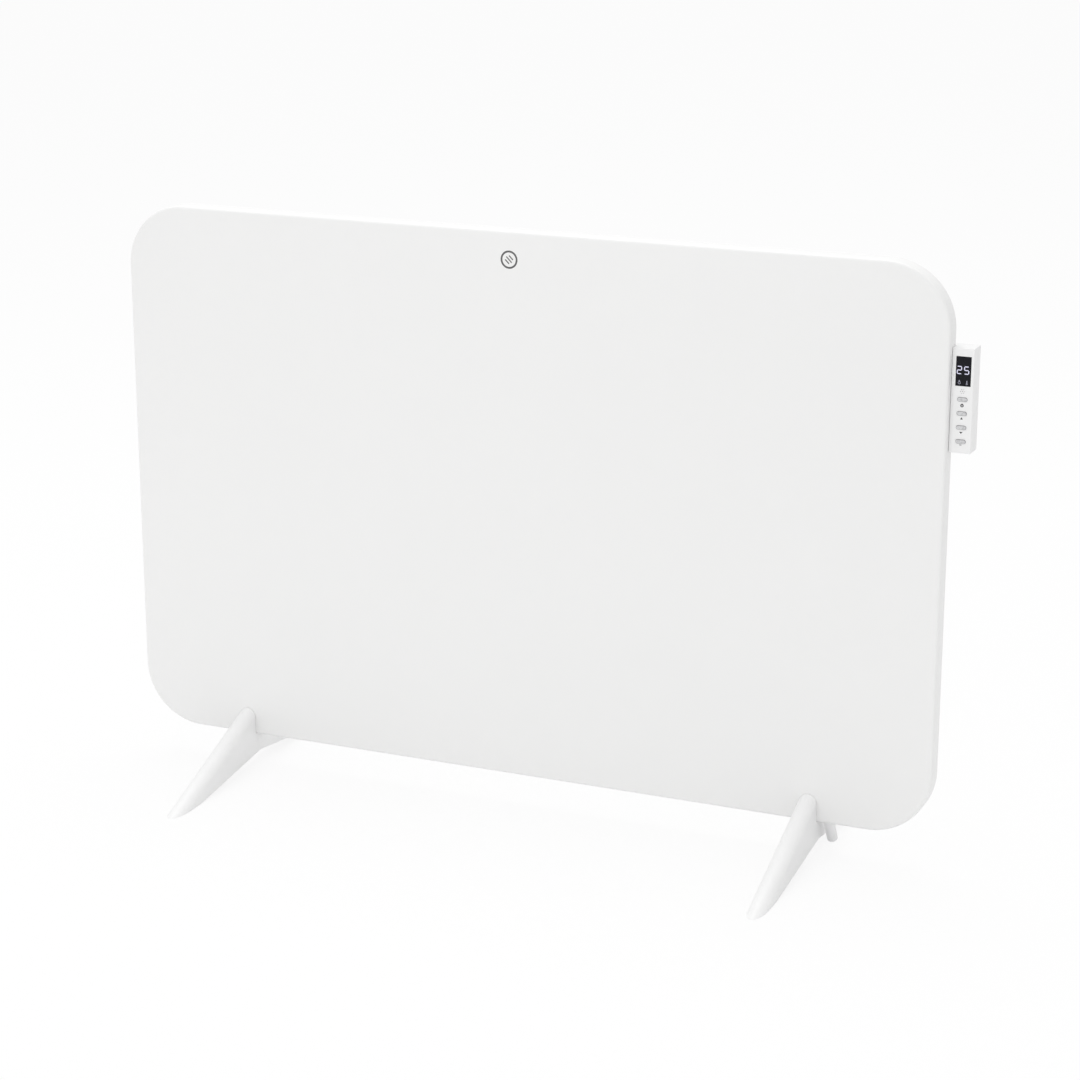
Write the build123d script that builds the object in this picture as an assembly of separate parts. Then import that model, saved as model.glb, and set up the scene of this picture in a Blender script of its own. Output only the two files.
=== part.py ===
from build123d import *
from math import cos, radians, sin
import os

# Flat infrared heater: a thin steel panel on two plug-on feet, with a control box at its side.
#
# The panel stands in the X-Z plane and faces -Y. Z is up and the floor is z = 0. The Y origin is
# the middle of the panel's thickness. Every piece is laid out about the panel's own centre line;
# write_part then moves the whole heater in X, so that its bounding box is centred on the origin.

# Steel panel
panel_width = 900.0
panel_height = 580.0
panel_depth = 20.0
panel_corner = 66.0
front_edge_radius = 3.0
front_sheet = 1.0
floor_gap = 38.0

# Rear cover and its lugs
cover_sheet = 0.8
cover_recess = 0.8
cover_clearance = 0.3
lug_width = 20.0
lug_reach = 16.0
lug_sheet = 1.2
lug_foot = 6.0
lug_spacing = 480.0
bead_end_margin = 130.0
bead_width = 14.0
bead_height = 1.4
bead_spacing = 200.0

# Holes for M3 screws, and the M5 hardware of the feet
tapped_hole_radius = 1.3
clear_hole_radius = 1.7
small_screw_length = 7.0
large_screw_radius = 2.5
large_head_radius = 4.4
large_head_height = 3.4
large_hole_radius = 2.7
large_hex_radius = 2.3
large_hex_depth = 2.0
nut_across_flats = 8.0
nut_height = 4.0
thread_clearance = 0.05

# Wall-mounting rivet nuts
insert_spacing_across = 600.0
insert_spacing_up = 380.0
insert_bore_radius = 2.5
insert_across_flats = 7.0
insert_clearance = 0.1
insert_length = 9.0

# Heating stack inside the panel
stack_margin = 12.0
board_thickness = 1.6
board_corner = 40.0
bus_width = 12.0
bus_thickness = 0.4
bus_inset = 26.0
foil_thickness = 0.3
pocket_clearance = 1.0
cutout_radius = 8.0
cutout_height = 6.0
cutout_ear_reach = 14.0
cutout_ear_sheet = 0.8
cutout_spacing = 240.0
nut_pocket = 20.0
block_width = 34.0
block_height = 17.0
block_depth = 12.0
block_ways = 3
block_way_width = 7.0
block_way_depth = 6.0
block_way_front = 3.0
block_offset_up = 46.0

# Feet
foot_inset = 127.1
foot_width = 19.4
foot_wall = 2.4
foot_clearance = 0.25
foot_reach = 182.0
foot_crest = 67.4
sole_length = 50.0
arch_height = 16.5
core_reach = 150.0
core_saddle = 17.0
foot_ribs = 4
core_chamfer = 4.5
rib_thickness = 1.8
foot_head_seat = 6.5
foot_head_clearance = 0.4

# Cord gland
gland_offset = 19.7
gland_radius = 5.45
gland_bore = 3.7
gland_tilt = 30.0
gland_length = 28.0
gland_inside = 5.0
gland_flange = 2.4
gland_flange_radius = 6.9
gland_hole_clearance = 0.2

# Control box
box_width = 21.6
box_height = 102.6
box_rise = 397.0
box_front_setback = 8.5
box_depth = 22.1
box_wall = 1.6
box_gap = 0.3
box_inboard = 62.0
box_edge = 0.5
lid_sheet = 1.6
lid_clearance = 0.15
lid_screw_inset = 3.4
box_screw_reach = 22.0
box_screw_inset = 7.2
box_post_radius = 3.6

# Display, buttons and sounder
window_width = 15.0
window_height = 29.0
window_sheet = 1.2
window_drop = 22.3
window_fit = 0.1
display_width = 14.0
display_height = 26.0
control_centre = 11.4
button_length = 10.2
button_height = 4.4
button_pitch = 13.75
button_count = 4
first_button_drop = 49.7
button_proud = 0.7
button_travel = 0.6
button_fit = 0.12
button_flange = 0.8
button_flange_sheet = 0.8
button_stem_width = 3.0
button_stem_rib = 1.0
sound_drop = 41.8
sounder_radius = 4.2
sounder_height = 3.6
circuit_sheet = 1.6
circuit_front = 7.6
circuit_height = 96.0
switch_size = 6.0
switch_height = 3.4

# Power circuit behind the panel
power_width = 50.0
power_height = 84.0
power_lid_gap = 0.3
relay_width = 15.0
relay_height = 24.0
relay_depth = 5.0
relay_place = (4.0, 16.0)
capacitor_width = 18.0
capacitor_height = 12.0
capacitor_depth = 4.8
capacitor_place = (6.0, -14.0)
tilt_size = 9.0
tilt_depth = 4.6
tilt_place = (-12.0, 0.0)

# Places worked out from the sizes above
panel_front = -panel_depth / 2
panel_back = panel_depth / 2
panel_bottom = floor_gap
panel_middle = floor_gap + panel_height / 2
panel_side = panel_width / 2
foot_spacing = panel_width - 2 * foot_inset
bead_length = panel_width - 2 * bead_end_margin
sheet_back = panel_front + front_sheet
cover_back = panel_back - cover_recess
cover_front = cover_back - cover_sheet
inner_side = panel_side - front_sheet
inner_bottom = panel_bottom + front_sheet
inner_half_height = panel_height / 2 - front_sheet
board_back = sheet_back + board_thickness
bus_back = board_back + bus_thickness
foil_back = bus_back + foil_thickness
lug_hole_inset = lug_reach / 2
box_left = panel_side + box_gap
box_right = box_left + box_width
box_front = panel_front + box_front_setback
box_back = box_front + box_depth
box_bottom = panel_bottom + box_rise
box_top = box_bottom + box_height
box_middle = box_bottom + box_height / 2
box_inner_face = box_front + box_wall
inboard_left = box_left - box_inboard
lid_front = box_back - lid_sheet
circuit_face = box_front + circuit_front
circuit_back = circuit_face + circuit_sheet
control_x = box_left + control_centre
window_z = box_top - window_drop
sounder_z = box_top - sound_drop
power_x = inboard_left + box_wall + pocket_clearance + power_width / 2
power_back = lid_front - power_lid_gap
power_front = power_back - circuit_sheet
gland_x = foot_spacing / 2 + gland_offset
block_z = inner_bottom + block_offset_up


def standing_plate(width, height, corner, front, back, x=0.0, z=panel_middle):
    """Rounded plate that faces the room, between two depths."""
    outline = Plane(origin=(x, back, z), x_dir=(1, 0, 0), z_dir=(0, -1, 0)) * RectangleRounded(
        width, height, corner
    )
    return extrude(outline, amount=back - front)


def block(width, height, front, back, x, z):
    """Square-cornered block between two depths."""
    return Pos(x, (front + back) / 2, z) * Box(width, back - front, height)


def group(pieces):
    """Separate pieces that share one node."""
    return Part() + pieces


def rod(radius, front, back, x, z):
    """Round bar that runs front to back."""
    return Pos(x, (front + back) / 2, z) * Rot(90, 0, 0) * Cylinder(radius, back - front)


def hexagon_bar(across_flats, front, back, x, z):
    """Hexagonal bar that runs front to back."""
    outline = Plane(origin=(x, back, z), x_dir=(1, 0, 0), z_dir=(0, -1, 0)) * RegularPolygon(
        across_flats / 2, 6, major_radius=False
    )
    return extrude(outline, amount=back - front)


def lug_places():
    """Where the rear cover is screwed down: place of the wall and turn about Y."""
    places = [(-inner_side, 0.0, 90), (inner_side, 0.0, -90)]
    for across in (-lug_spacing / 2, lug_spacing / 2):
        places.append((across, -inner_half_height, 0))
        places.append((across, inner_half_height, 180))
    return places


def cover_screw_places():
    """Centres of the cover screws, in X and Z."""
    places = []
    for across, up, turn in lug_places():
        inward_x = lug_hole_inset * sin(radians(turn))
        inward_z = lug_hole_inset * cos(radians(turn))
        places.append((across + inward_x, panel_middle + up + inward_z))
    return places


def insert_places():
    """Centres of the wall-mounting rivet nuts, in X and Z."""
    return [
        (side * insert_spacing_across / 2, panel_middle + level * insert_spacing_up / 2)
        for side in (-1, 1)
        for level in (-1, 1)
    ]


def foot_places():
    """Centre lines of the two feet."""
    return {"left_foot": -foot_spacing / 2, "right_foot": foot_spacing / 2}


def gland_axis(reach=0.0):
    """Line of the cord outlet, which leaves the panel's underside and leans backwards."""
    tilt = radians(gland_tilt)
    down = Vector(0, sin(tilt), -cos(tilt))
    start = Vector(gland_x, 0, panel_bottom)
    return Plane(origin=start + down * reach, z_dir=down)


def make_lug():
    """Bent lug that is spot-welded to the panel's wall and carries one cover screw."""
    back = cover_front
    seat = Pos(0, back - lug_sheet / 2, lug_reach / 2) * Box(lug_width, lug_sheet, lug_reach)
    foot = Pos(0, back - lug_foot / 2, lug_sheet / 2) * Box(lug_width, lug_foot, lug_sheet)
    return seat + foot - rod(tapped_hole_radius, back - lug_foot, back, 0, lug_hole_inset)


def make_front_panel():
    """Pressed steel tray with a soft front edge, an open back and the lugs for the cover."""
    outer = standing_plate(panel_width, panel_height, panel_corner, panel_front, panel_back)
    outer = fillet(outer.edges().group_by(Axis.Y)[0], front_edge_radius)
    inner = standing_plate(
        panel_width - 2 * front_sheet,
        panel_height - 2 * front_sheet,
        panel_corner - front_sheet,
        sheet_back,
        panel_back,
    )
    inner = chamfer(inner.edges().group_by(Axis.Y)[0], front_edge_radius - front_sheet)
    tray = outer - inner
    lug = make_lug()
    for across, up, turn in lug_places():
        tray += Pos(across, 0, panel_middle + up) * Rot(0, turn, 0) * lug
    for x in foot_places().values():
        tray -= Pos(x, 0, panel_bottom) * Cylinder(large_hole_radius, 4 * front_sheet)
    return tray - gland_axis() * Cylinder(gland_radius + gland_hole_clearance, 4 * gland_radius)


def make_heating_board():
    """Laminated carbon heating board, bonded to the back of the steel front."""
    width = panel_width - 2 * (front_sheet + stack_margin)
    height = panel_height - 2 * (front_sheet + stack_margin)
    return standing_plate(width, height, board_corner, sheet_back, board_back)


def make_bus_bars():
    """Two copper strips that feed the heating board along its short sides."""
    length = panel_height - 2 * (front_sheet + stack_margin + board_corner)
    place = inner_side - stack_margin - bus_inset
    left = block(bus_width, length, board_back, bus_back, -place, panel_middle)
    right = block(bus_width, length, board_back, bus_back, place, panel_middle)
    return group([left, right])


def cutout_places():
    """Centres of the two thermal cut-outs, in X and Z."""
    return {
        "upper_thermal_cutout": (0.0, panel_middle + cutout_spacing / 2),
        "lower_thermal_cutout": (0.0, panel_middle - cutout_spacing / 2),
    }


def make_thermal_cutout(x, z):
    """Disc thermostat on a two-eared strap that presses on the heating board."""
    strap = block(2 * cutout_ear_reach, cutout_radius, board_back, board_back + cutout_ear_sheet, x, z)
    return strap + rod(cutout_radius, board_back, board_back + cutout_height, x, z)


def stack_pockets(front, back):
    """Room that the foil and the insulation leave for what stands in or behind them."""
    room = []
    for x, z in cutout_places().values():
        size = 2 * (cutout_ear_reach + pocket_clearance)
        room.append(block(size, 2 * (cutout_radius + pocket_clearance), front, back, x, z))
    for x, z in insert_places():
        size = insert_across_flats + 2 * pocket_clearance
        room.append(block(size, size, front, back, x, z))
    for x in foot_places().values():
        room.append(block(nut_pocket, 2 * nut_pocket, front, back, x, inner_bottom))
    tall = block_height + block_offset_up
    wide = block_width + 2 * pocket_clearance
    room.append(block(wide, tall, front, back, gland_x, inner_bottom + tall / 2))
    return room


def make_reflector_foil():
    """Aluminium foil that turns the heat forwards."""
    width = panel_width - 2 * (front_sheet + stack_margin)
    height = panel_height - 2 * (front_sheet + stack_margin)
    foil = standing_plate(width, height, board_corner, bus_back, foil_back)
    return foil - stack_pockets(bus_back, foil_back)


def make_insulation():
    """Fibre board that fills the panel behind the foil."""
    width = panel_width - 2 * (front_sheet + lug_sheet + pocket_clearance)
    height = panel_height - 2 * (front_sheet + lug_sheet + pocket_clearance)
    corner = panel_corner - front_sheet - lug_sheet
    board = standing_plate(width, height, corner, foil_back, cover_front)
    board -= stack_pockets(foil_back, cover_front)
    notch = Pos(0, cover_front - lug_foot / 2, lug_reach / 2) * Box(
        lug_width + 2 * pocket_clearance, lug_foot + 2 * pocket_clearance, lug_reach + 2 * pocket_clearance
    )
    for across, up, turn in lug_places():
        board -= Pos(across, 0, panel_middle + up) * Rot(0, turn, 0) * notch
    return board


def make_rear_cover():
    """Flat steel back with two pressed stiffening beads."""
    inset = front_sheet + cover_clearance
    cover = standing_plate(
        panel_width - 2 * inset, panel_height - 2 * inset, panel_corner - inset, cover_front, cover_back
    )
    for level in (panel_middle - bead_spacing / 2, panel_middle + bead_spacing / 2):
        crest = cover_back + bead_height
        ridge = standing_plate(bead_length, bead_width, bead_width / 2 - 0.01, cover_front, crest, z=level)
        ridge = chamfer(ridge.edges().group_by(Axis.Y)[-1], bead_height / 2)
        hollow_width = bead_width - 2 * cover_sheet
        hollow = standing_plate(
            bead_length - 2 * cover_sheet,
            hollow_width,
            hollow_width / 2 - 0.01,
            cover_front,
            crest - cover_sheet,
            z=level,
        )
        cover = cover + ridge - hollow
    for x, z in cover_screw_places() + box_screw_places():
        cover -= rod(clear_hole_radius, cover_front, cover_back, x, z)
    for x, z in insert_places():
        cover -= hexagon_bar(insert_across_flats, cover_front, cover_back, x, z)
    return cover


def make_wall_inserts():
    """Four hexagonal rivet nuts, flush in the cover, to which a wall bracket is bolted."""
    front = cover_back - insert_length
    nuts = []
    for x, z in insert_places():
        body = hexagon_bar(insert_across_flats - 2 * insert_clearance, front, cover_back, x, z)
        nuts.append(body - rod(insert_bore_radius, front, cover_back, x, z))
    return group(nuts)


def make_terminal_block():
    """Mains terminal block on the inside of the cover, above the cord gland."""
    front = cover_front - block_depth
    body = block(block_width, block_height, front, cover_front, gland_x, block_z)
    way_front = front + block_way_front
    for index in range(block_ways):
        x = gland_x + (index - (block_ways - 1) / 2) * block_width / block_ways
        way_back = way_front + block_way_depth
        body -= block(block_way_width, block_height, way_front, way_back, x, block_z)
    return body


def foot_profile(reach, crest, arch, sole, saddle):
    """Side view of the front half of a foot, from its middle to its toe."""
    slope = crest / (reach - panel_depth / 2)
    cheek = panel_depth / 2 + foot_clearance
    top = crest - slope * foot_clearance
    with BuildSketch(Plane.YZ) as side:
        with BuildLine():
            Polyline(
                (0, arch),
                (0, saddle),
                (-cheek, saddle),
                (-cheek, top),
                (-reach, 0),
                (sole - reach, 0),
                (0, arch),
            )
        make_face()
    return side.sketch


def along_arm(section):
    """Bar of one section, drawn with its top at y = 0, that lies under a foot's upper edge."""
    slope = foot_crest / (foot_reach - panel_depth / 2)
    start = Vector(0, 0, foot_crest + slope * panel_depth / 2)
    upper_edge = Plane(origin=start, x_dir=(1, 0, 0), z_dir=Vector(0, -1, -slope))
    return extrude(upper_edge * section, amount=2 * foot_reach, both=True)


def round_nosed(width):
    """Section of a foot's arm, with a half-round top."""
    deep = 4 * foot_crest
    return Pos(0, -width / 2) * Circle(width / 2) + Pos(0, -(width + deep) / 2) * Rectangle(width, deep)


def chamfer_nosed(width):
    """Section of a foot's hollow core, which follows the half-round top in three flats."""
    deep = 4 * foot_crest
    core = Pos(0, -foot_wall - deep / 2) * Rectangle(width, deep)
    return chamfer(core.vertices().group_by(Axis.Y)[-1], core_chamfer)


def make_foot():
    """Moulded foot: half-round arms, a saddle that takes the panel's edge, a ribbed hollow core."""
    profile = foot_profile(foot_reach, foot_crest, arch_height, sole_length, panel_bottom)
    core_width = foot_width - 2 * foot_wall
    half = extrude(profile, amount=foot_width / 2, both=True) & along_arm(round_nosed(foot_width))
    core = extrude(profile, amount=core_width / 2, both=True) & along_arm(chamfer_nosed(core_width))
    keep = Pos(0, -(core_saddle + core_reach) / 2, foot_crest / 2) * Box(
        foot_width, core_reach - core_saddle, 4 * foot_crest
    )
    core = core & keep
    bay = (core_reach - core_saddle) / (foot_ribs + 1)
    for index in range(foot_ribs):
        y = -core_saddle - (index + 1) * bay
        core -= Pos(0, y, 0) * Box(foot_width, rib_thickness, 4 * foot_crest)
    half -= core
    foot = half + mirror(half, Plane.XZ)
    seat = panel_bottom - foot_head_seat
    foot -= Pos(0, 0, seat / 2) * Cylinder(large_head_radius + foot_head_clearance, seat)
    return foot - Pos(0, 0, panel_bottom) * Cylinder(large_hole_radius, 4 * foot_head_seat)


def make_foot_screws():
    """One screw in each foot, driven upwards from the arch into the panel's lower wall."""
    seat = panel_bottom - foot_head_seat
    length = foot_head_seat + front_sheet + nut_height
    screws = []
    for x in foot_places().values():
        head = Pos(x, 0, seat - large_head_height / 2) * Cylinder(large_head_radius, large_head_height)
        socket = extrude(RegularPolygon(large_hex_radius, 6), amount=large_hex_depth)
        head -= Pos(x, 0, seat - large_head_height) * socket
        shank = Pos(x, 0, seat + length / 2) * Cylinder(large_screw_radius, length)
        screws.append(head + shank)
    return group(screws)


def make_weld_nuts():
    """Nuts welded inside the panel's lower wall."""
    nuts = []
    for x in foot_places().values():
        hexagon = RegularPolygon(nut_across_flats / 2, 6, major_radius=False)
        nut = Pos(x, 0, inner_bottom) * extrude(hexagon, amount=nut_height)
        bore = Pos(x, 0, inner_bottom + nut_height / 2) * Cylinder(
            large_screw_radius + thread_clearance, nut_height
        )
        nuts.append(nut - bore)
    return group(nuts)


def make_cord_gland():
    """Slanting grommet in the panel's underside that the mains cord leaves through."""
    middle = gland_axis((gland_length - gland_inside) / 2)
    barrel = middle * Cylinder(gland_radius, gland_length + gland_inside)
    flange = Pos(gland_x, 0, inner_bottom + gland_flange / 2) * Cylinder(gland_flange_radius, gland_flange)
    bore = middle * Cylinder(gland_bore, 2 * gland_length)
    return barrel + flange - bore


def box_screw_places():
    """Where the control box is screwed to the rear cover, in X and Z."""
    x = inboard_left + box_screw_reach
    return [(x, box_bottom + box_screw_inset), (x, box_top - box_screw_inset)]


def lid_screw_places():
    """Opposite corners where the lid is screwed to the control box, in X and Z."""
    inset = box_wall + lid_screw_inset
    return [(inboard_left + inset, box_top - inset), (box_right - inset, box_bottom + inset)]


def button_levels():
    """Heights of the four buttons, from the top one down."""
    return [box_top - first_button_drop - index * button_pitch for index in range(button_count)]


def oval(length, height, front, back, z):
    """Oval plug on the line of the buttons."""
    return standing_plate(length, height, height / 2 - 0.01, front, back, x=control_x, z=z)


def make_control_housing():
    """L-shaped moulding: a slim face beside the panel and a deeper part screwed behind it."""
    side_x = (box_left + box_right) / 2
    slim = block(box_width, box_height, box_front, box_back, side_x, box_middle)
    rear_x = (inboard_left + box_right) / 2
    rear = block(box_right - inboard_left, box_height, panel_back, box_back, rear_x, box_middle)
    housing = slim + rear
    housing = chamfer(housing.edges().filter_by(Axis.Y) + housing.edges().group_by(Axis.Y)[0], box_edge)
    inner_height = box_height - 2 * box_wall
    slim_room = block(box_width - 2 * box_wall, inner_height, box_inner_face, box_back, side_x, box_middle)
    rear_room = block(
        box_right - inboard_left - 2 * box_wall,
        inner_height,
        panel_back + box_wall,
        box_back,
        rear_x,
        box_middle,
    )
    housing -= slim_room + rear_room
    post_size = 2 * box_post_radius
    for x, z in box_screw_places():
        housing += block(post_size, post_size, cover_back, panel_back + box_wall, x, z)
        housing -= rod(clear_hole_radius, cover_back, panel_back + box_wall, x, z)
    for x, z in lid_screw_places():
        floor = panel_back if x < box_left else box_inner_face
        post = block(post_size, post_size, floor, lid_front, x, z)
        bore = rod(tapped_hole_radius, lid_front - small_screw_length, lid_front, x, z)
        housing = housing + post - bore
    housing -= block(window_width, window_height, box_front, box_inner_face, control_x, window_z)
    for z in button_levels():
        housing -= oval(button_length, button_height, box_front, box_inner_face, z)
    return housing


def make_control_lid():
    """Flat back of the control box, let in flush with its walls."""
    inset = box_wall + lid_clearance
    x = (inboard_left + box_right) / 2
    width = box_right - inboard_left - 2 * inset
    lid = block(width, box_height - 2 * inset, lid_front, box_back, x, box_middle)
    for x, z in lid_screw_places():
        lid -= rod(clear_hole_radius, lid_front, box_back, x, z)
    return lid


def make_display_window():
    """Smoked window, flush with the face of the control box."""
    width = window_width - 2 * window_fit
    height = window_height - 2 * window_fit
    return block(width, height, box_front, box_front + window_sheet, control_x, window_z)


def make_display_module():
    """Two-digit display block between the window and the control circuit."""
    return block(display_width, display_height, box_front + window_sheet, circuit_face, control_x, window_z)


def make_control_circuit():
    """Control circuit board on the posts behind the buttons."""
    width = box_width - 2 * box_wall - 2 * lid_clearance
    board = block(
        width, circuit_height, circuit_face, circuit_back, (box_left + box_right) / 2, box_middle
    )
    notch = 2 * (box_post_radius + lid_clearance)
    for x, z in lid_screw_places():
        board -= block(notch, notch, circuit_face, circuit_back, x, z)
    return board


def make_switches():
    """Push switches on the control circuit, one behind each button."""
    switches = []
    for z in button_levels():
        face = circuit_face - switch_height
        switches.append(block(switch_size, switch_size, face, circuit_face, control_x, z))
    return group(switches)


def make_button(z):
    """Oval key cap with a retaining flange and a stem that reaches its push switch."""
    length = button_length - 2 * button_fit
    height = button_height - 2 * button_fit
    cap = oval(length, height, box_front - button_proud, box_inner_face + button_fit, z)
    cap = chamfer(cap.edges().group_by(Axis.Y)[0], button_proud / 2)
    flange_front = box_inner_face + button_fit
    flange_back = flange_front + button_flange_sheet
    flange = block(
        length + 2 * button_flange, height + 2 * button_flange, flange_front, flange_back, control_x, z
    )
    tip = circuit_face - switch_height - button_travel - button_fit
    stem = block(button_stem_width, button_stem_rib, flange_back, tip, control_x, z)
    stem += block(button_stem_rib, button_stem_width, flange_back, tip, control_x, z)
    return cap + flange + stem


def make_sounder():
    """Beeper behind the face of the control box, between the window and the buttons."""
    return rod(sounder_radius, circuit_face - sounder_height, circuit_face, control_x, sounder_z)


def make_power_circuit():
    """Power circuit board on the inside of the lid."""
    board = block(power_width, power_height, power_front, power_back, power_x, box_middle)
    notch = 2 * (box_post_radius + lid_clearance)
    for x, z in lid_screw_places():
        board -= block(notch, notch, power_front, power_back, x, z)
    return board


def on_power_circuit(width, height, depth, place):
    """Component that stands on the front of the power circuit."""
    across, up = place
    return block(width, height, power_front - depth, power_front, power_x + across, box_middle + up)


def write_part(node, shape):
    """Move a piece from the panel's centre line to the heater's own origin, and write it."""
    centring = Pos((panel_side - box_right) / 2, 0, 0)
    export_step(centring * shape, "parts/" + node + ".step")


def main():
    """Make every piece and write each to its own file."""
    os.makedirs("parts", exist_ok=True)
    write_part("front_panel", make_front_panel())
    write_part("heating_board", make_heating_board())
    write_part("bus_bars", make_bus_bars())
    write_part("reflector_foil", make_reflector_foil())
    write_part("insulation_board", make_insulation())
    for node, (x, z) in cutout_places().items():
        write_part(node, make_thermal_cutout(x, z))
    write_part("rear_cover", make_rear_cover())
    write_part("wall_inserts", make_wall_inserts())
    write_part("terminal_block", make_terminal_block())
    write_part("weld_nuts", make_weld_nuts())
    foot = make_foot()
    for node, x in foot_places().items():
        write_part(node, Pos(x, 0, 0) * foot)
    write_part("foot_screws", make_foot_screws())
    write_part("cord_gland", make_cord_gland())
    write_part("control_housing", make_control_housing())
    write_part("control_lid", make_control_lid())
    write_part("display_window", make_display_window())
    write_part("display_module", make_display_module())
    write_part("control_circuit", make_control_circuit())
    write_part("push_switches", make_switches())
    for name, z in zip(("power", "up", "down", "mode"), button_levels()):
        write_part(name + "_button", make_button(z))
    write_part("sounder", make_sounder())
    write_part("power_circuit", make_power_circuit())
    write_part("relay", on_power_circuit(relay_width, relay_height, relay_depth, relay_place))
    capacitor = on_power_circuit(capacitor_width, capacitor_height, capacitor_depth, capacitor_place)
    write_part("capacitor", capacitor)
    write_part("tilt_switch", on_power_circuit(tilt_size, tilt_size, tilt_depth, tilt_place))


main()
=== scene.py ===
from math import atan, cos, pi, radians, sin

import bpy
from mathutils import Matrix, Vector


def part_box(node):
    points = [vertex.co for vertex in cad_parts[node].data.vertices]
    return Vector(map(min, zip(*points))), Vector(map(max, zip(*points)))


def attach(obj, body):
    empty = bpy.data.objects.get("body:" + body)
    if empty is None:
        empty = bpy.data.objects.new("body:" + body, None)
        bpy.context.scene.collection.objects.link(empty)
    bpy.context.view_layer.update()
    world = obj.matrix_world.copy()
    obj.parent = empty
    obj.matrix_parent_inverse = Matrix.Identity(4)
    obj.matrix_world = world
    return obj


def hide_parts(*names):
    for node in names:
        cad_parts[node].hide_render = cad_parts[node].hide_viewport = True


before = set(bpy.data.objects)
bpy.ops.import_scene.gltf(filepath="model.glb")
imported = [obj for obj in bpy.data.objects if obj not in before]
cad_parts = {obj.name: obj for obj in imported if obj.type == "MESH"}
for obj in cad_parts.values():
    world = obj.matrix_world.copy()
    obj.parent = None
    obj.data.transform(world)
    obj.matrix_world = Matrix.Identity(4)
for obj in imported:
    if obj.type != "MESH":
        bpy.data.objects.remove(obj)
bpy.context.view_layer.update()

# Panel: a tray pressed from 1 mm steel sheet, 900 by 580 by 20 mm, with a soft front edge
# and an open back. It is powder-coated satin white, with the fine orange peel of that coat.

MM = 0.001
NEAR = 1e-6
FACING = 0.9
panel_low, panel_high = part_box("front_panel")
PANEL_CORNER = 66 * MM
PANEL_EDGE = 3 * MM
PANEL_SHEET = 1 * MM
WHITE_COAT = (0.862, 0.862, 0.858, 1.0)
DARKER = 0.985
CLOUD_SCALE = 9.0
GLOSS_SCALE = 600.0
PEEL_SCALE = 900.0
PEEL_DEPTH = 0.2 * MM


class Socket:
    """Output of a shader node that takes part in sums like a number."""

    def __init__(self, tree, socket):
        self.tree = tree
        self.socket = socket

    def maths(self, operation, first, second):
        node = self.tree.nodes.new("ShaderNodeMath")
        node.operation = operation
        for place, value in enumerate((first, second)):
            if isinstance(value, Socket):
                self.tree.links.new(value.socket, node.inputs[place])
            else:
                node.inputs[place].default_value = value
        return Socket(self.tree, node.outputs[0])

    def __add__(self, other):
        return self.maths("ADD", self, other)

    def __radd__(self, other):
        return self.maths("ADD", other, self)

    def __mul__(self, other):
        return self.maths("MULTIPLY", self, other)

    def __rmul__(self, other):
        return self.maths("MULTIPLY", other, self)


class Nodes:
    """The nodes of one material or of the surround."""

    def __init__(self, tree):
        self.tree = tree

    def node(self, kind, output=0, settings=None, sockets=None):
        """Add a node: first its settings, then the values or links of its sockets."""
        made = self.tree.nodes.new(kind)
        for setting, value in (settings or {}).items():
            setattr(made, setting, value)
        for socket, value in (sockets or {}).items():
            if isinstance(value, Socket):
                self.tree.links.new(value.socket, made.inputs[socket])
            else:
                made.inputs[socket].default_value = value
        return Socket(self.tree, made.outputs[output])

    def noise(self, scale, detail=2.0):
        place = self.node("ShaderNodeTexCoord", "Object")
        sockets = {"Vector": place, "Scale": scale, "Detail": detail}
        return self.node("ShaderNodeTexNoise", "Fac", sockets=sockets)

    def mix(self, factor, first, second):
        """Blend two colours, which a Mix node takes at places 6 and 7 and gives at place 2."""
        sockets = {0: factor, 6: first, 7: second}
        return self.node("ShaderNodeMix", 2, {"data_type": "RGBA"}, sockets)


class Finish(Nodes):
    """A surface finish, built up from nodes on the Principled shader."""

    def __init__(self, name, colour, roughness, **constants):
        self.material = bpy.data.materials.new(name)
        self.material.use_nodes = True
        super().__init__(self.material.node_tree)
        self.shader = self.tree.nodes["Principled BSDF"]
        self.shader.inputs["Base Color"].default_value = colour
        self.shader.inputs["Roughness"].default_value = roughness
        for socket, value in constants.items():
            self.shader.inputs[socket.replace("_", " ")].default_value = value

    def feed(self, **links):
        for socket, value in links.items():
            self.tree.links.new(value.socket, self.shader.inputs[socket.replace("_", " ")])

    def grain(self, height, strength, distance):
        sockets = {"Height": height, "Strength": strength, "Distance": distance}
        self.feed(Normal=self.node("ShaderNodeBump", "Normal", sockets=sockets))


def slightly_darker(colour):
    return tuple(DARKER * part for part in colour[:3]) + (1.0,)


def powder_coat(name, colour, peel=0.12):
    """Satin powder coat: a faint drift of colour, fine orange peel and a slightly uneven gloss."""
    coat = Finish(name, colour, 0.42, Specular_IOR_Level=0.45)
    coat.feed(Base_Color=coat.mix(coat.noise(CLOUD_SCALE), slightly_darker(colour), colour))
    coat.feed(Roughness=0.38 + 0.08 * coat.noise(GLOSS_SCALE))
    coat.grain(coat.noise(PEEL_SCALE, 3.0), peel, PEEL_DEPTH)
    return coat.material


def deselect():
    bpy.ops.object.select_all(action="DESELECT")


def block(name, low, high):
    """A new cube between two corners, ready to be shaped."""
    deselect()
    centre = [(a + b) / 2 for a, b in zip(low, high)]
    bpy.ops.mesh.primitive_cube_add(size=1.0, location=centre)
    piece = bpy.context.object
    piece.name = name
    piece.data.name = name
    piece.scale = [b - a for a, b in zip(low, high)]
    settle(piece)
    return piece


def settle(piece):
    """Put a piece's place, turn and size into its mesh."""
    deselect()
    piece.select_set(True)
    bpy.context.view_layer.objects.active = piece
    bpy.ops.object.transform_apply(location=True, rotation=True, scale=True)


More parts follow.
